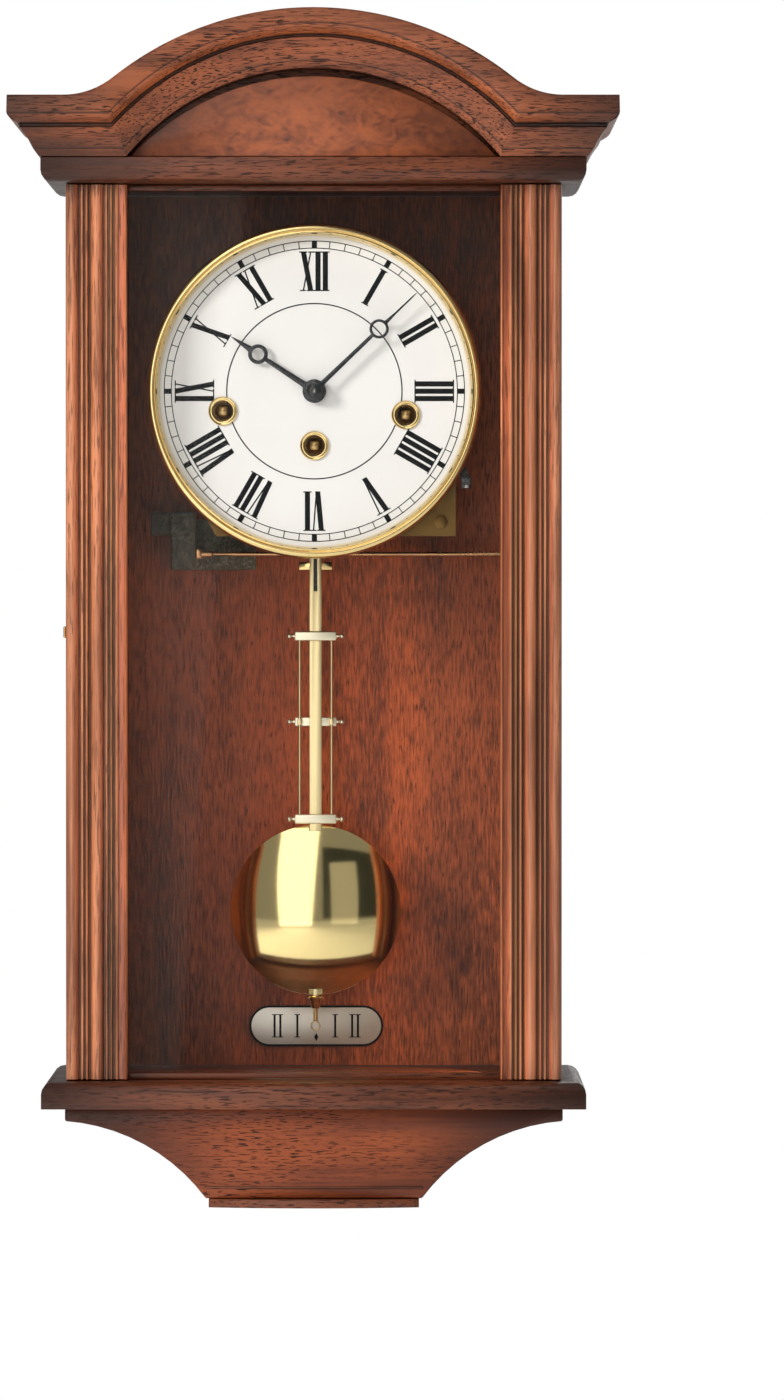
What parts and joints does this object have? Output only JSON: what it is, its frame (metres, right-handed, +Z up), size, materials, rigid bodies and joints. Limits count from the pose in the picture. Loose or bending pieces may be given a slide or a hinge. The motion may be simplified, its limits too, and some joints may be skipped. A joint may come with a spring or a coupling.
{
  "type": "wall clock",
  "caption": "Key-wound pendulum wall clock: arched crown, reeded glass door, round dial, brass lyre pendulum and rod chime.",
  "frame": {"origin": "top of the keyhole slot in the hanger plate, on the wall plane", "axes": "+Z up, the front faces -Y, the back lies on the wall plane y = 0, +X to the right as seen from the front"},
  "size_m": [0.3054, 0.1602, 0.6],
  "materials": {
    "walnut": "reddish walnut stain, satin lacquer over open pores",
    "dark_walnut": "dark walnut stain, satin lacquer",
    "burl": "burl veneer, satin lacquer",
    "polished_brass": "polished and lacquered",
    "satin_brass": "brushed",
    "steel": "ground",
    "cast_iron": "black, rough cast",
    "bronze": "drawn bronze",
    "dial_white": "matt off-white",
    "hand_black": "gloss black",
    "silver": "silvered, matt",
    "brown_plastic": "moulded",
    "glass": "clear float glass"
  },
  "bodies": {
    "case": {"back_panel": "walnut", "side_panel_left": "walnut", "side_panel_right": "walnut", "base_board": "walnut", "top_board": "walnut", "crown_moulding": "dark_walnut", "crown_return_left": "dark_walnut", "crown_return_right": "dark_walnut", "pediment_board": "dark_walnut", "tympanum_panel": "burl", "apron_board": "walnut", "apron_side_left": "walnut", "apron_side_right": "walnut", "foot_board": "walnut", "hanger_plate": "steel", "beat_plate": "silver", "magnet_catch": "brown_plastic", "dial_plate": "dial_white", "bezel": "polished_brass", "winding_collar_left": "polished_brass", "winding_collar_centre": "polished_brass", "winding_collar_right": "polished_brass", "front_plate": "satin_brass", "back_plate": "satin_brass", "suspension_cock": "satin_brass", "chime_block": "cast_iron", "chime_rods": "bronze"},
    "door": {"door_stile_left": "walnut", "door_stile_right": "walnut", "door_rail_lower": "walnut", "door_rail_upper": "walnut", "door_glass": "glass", "door_pull": "polished_brass", "door_pivot_lower": "steel", "door_pivot_upper": "steel"},
    "minute": {"minute_hand": "hand_black", "hand_nut": "hand_black", "hand_arbor": "steel"},
    "hour": {"hour_hand": "hand_black", "hour_wheel": "satin_brass"},
    "motion_wheel": {"minute_wheel": "satin_brass"},
    "strike_barrel": {"barrel_left": "satin_brass"},
    "time_barrel": {"barrel_centre": "satin_brass"},
    "chime_barrel": {"barrel_right": "satin_brass"},
    "strike_winder": {"winding_arbor_left": "steel"},
    "time_winder": {"winding_arbor_centre": "steel"},
    "chime_winder": {"winding_arbor_right": "steel"},
    "escape": {"escape_wheel": "satin_brass"},
    "anchor": {"pallet_anchor": "steel"},
    "pendulum": {"pendulum_leader": "polished_brass", "pendulum_rod": "polished_brass", "lyre_frame": "polished_brass"},
    "bob": {"pendulum_bob": "polished_brass"},
    "nut": {"rating_nut": "polished_brass"},
    "first_hammer": {"hammer_1": "steel"},
    "second_hammer": {"hammer_2": "steel"},
    "third_hammer": {"hammer_3": "steel"},
    "fourth_hammer": {"hammer_4": "steel"},
    "lever": {"silent_lever": "steel"}
  },
  "joints": [
    {"name": "door_hinge", "type": "hinge", "parent": "case", "child": "door", "pos_m": [0.12, -0.1165, -0.2], "axis": [0, 0, 1], "range_deg": [0, 95]},
    {"name": "minute_turn", "type": "hinge", "parent": "case", "child": "minute", "pos_m": [0, -0.1, -0.0815], "axis": [0, 1, 0], "continuous": true},
    {"name": "hour_turn", "type": "hinge", "parent": "case", "child": "hour", "pos_m": [0, -0.1, -0.0815], "axis": [0, 1, 0], "continuous": true},
    {"name": "motion_turn", "type": "hinge", "parent": "case", "child": "motion_wheel", "pos_m": [0.01061, -0.09, -0.07089], "axis": [0, 1, 0], "continuous": true},
    {"name": "time_barrel_turn", "type": "hinge", "parent": "case", "child": "time_barrel", "pos_m": [0, -0.07, -0.109], "axis": [0, 1, 0], "continuous": true},
    {"name": "strike_barrel_turn", "type": "hinge", "parent": "case", "child": "strike_barrel", "pos_m": [-0.0463, -0.07, -0.0915], "axis": [0, 1, 0], "continuous": true},
    {"name": "chime_barrel_turn", "type": "hinge", "parent": "case", "child": "chime_barrel", "pos_m": [0.0462, -0.07, -0.0935], "axis": [0, 1, 0], "continuous": true},
    {"name": "strike_winding", "type": "hinge", "parent": "case", "child": "strike_winder", "pos_m": [-0.0463, -0.09, -0.0915], "axis": [0, 1, 0], "continuous": true},
    {"name": "time_winding", "type": "hinge", "parent": "case", "child": "time_winder", "pos_m": [0, -0.09, -0.109], "axis": [0, 1, 0], "continuous": true},
    {"name": "chime_winding", "type": "hinge", "parent": "case", "child": "chime_winder", "pos_m": [0.0462, -0.09, -0.0935], "axis": [0, 1, 0], "continuous": true},
    {"name": "escape_turn", "type": "hinge", "parent": "case", "child": "escape", "pos_m": [0, -0.07, -0.065], "axis": [0, 1, 0], "continuous": true},
    {"name": "pendulum_swing", "type": "hinge", "parent": "case", "child": "pendulum", "pos_m": [0, -0.038, -0.05], "axis": [0, 1, 0], "range_deg": [-5, 5]},
    {"name": "anchor_rock", "type": "hinge", "parent": "case", "child": "anchor", "pos_m": [0, -0.07, -0.05], "axis": [0, 1, 0], "range_deg": [-5, 5]},
    {"name": "bob_height", "type": "slide", "parent": "pendulum", "child": "bob", "axis": [0, 0, 1], "range_m": [-0.005, 0]},
    {"name": "nut_turn", "type": "hinge", "parent": "bob", "child": "nut", "pos_m": [0, -0.03985, -0.39], "axis": [0, 0, 1], "continuous": true},
    {"name": "hammer_1_lift", "type": "hinge", "parent": "case", "child": "first_hammer", "pos_m": [0.036, -0.015, -0.143], "axis": [0, 1, 0], "range_deg": [0, 12]},
    {"name": "hammer_2_lift", "type": "hinge", "parent": "case", "child": "second_hammer", "pos_m": [0.036, -0.021, -0.143], "axis": [0, 1, 0], "range_deg": [0, 12]},
    {"name": "hammer_3_lift", "type": "hinge", "parent": "case", "child": "third_hammer", "pos_m": [0.036, -0.027, -0.143], "axis": [0, 1, 0], "range_deg": [0, 12]},
    {"name": "hammer_4_lift", "type": "hinge", "parent": "case", "child": "fourth_hammer", "pos_m": [0.036, -0.033, -0.143], "axis": [0, 1, 0], "range_deg": [0, 12]},
    {"name": "silent_swing", "type": "hinge", "parent": "case", "child": "lever", "pos_m": [0.064, -0.09, -0.0955], "axis": [0, 1, 0], "range_deg": [-12, 0]}
  ],
  "couplings": [
    {"joint": "hour_turn", "follows": "minute_turn", "ratio": 0.083333},
    {"joint": "motion_turn", "follows": "minute_turn", "ratio": -0.33333},
    {"joint": "time_barrel_turn", "follows": "minute_turn", "ratio": -0.11111},
    {"joint": "anchor_rock", "follows": "pendulum_swing", "ratio": 1}
  ]
}
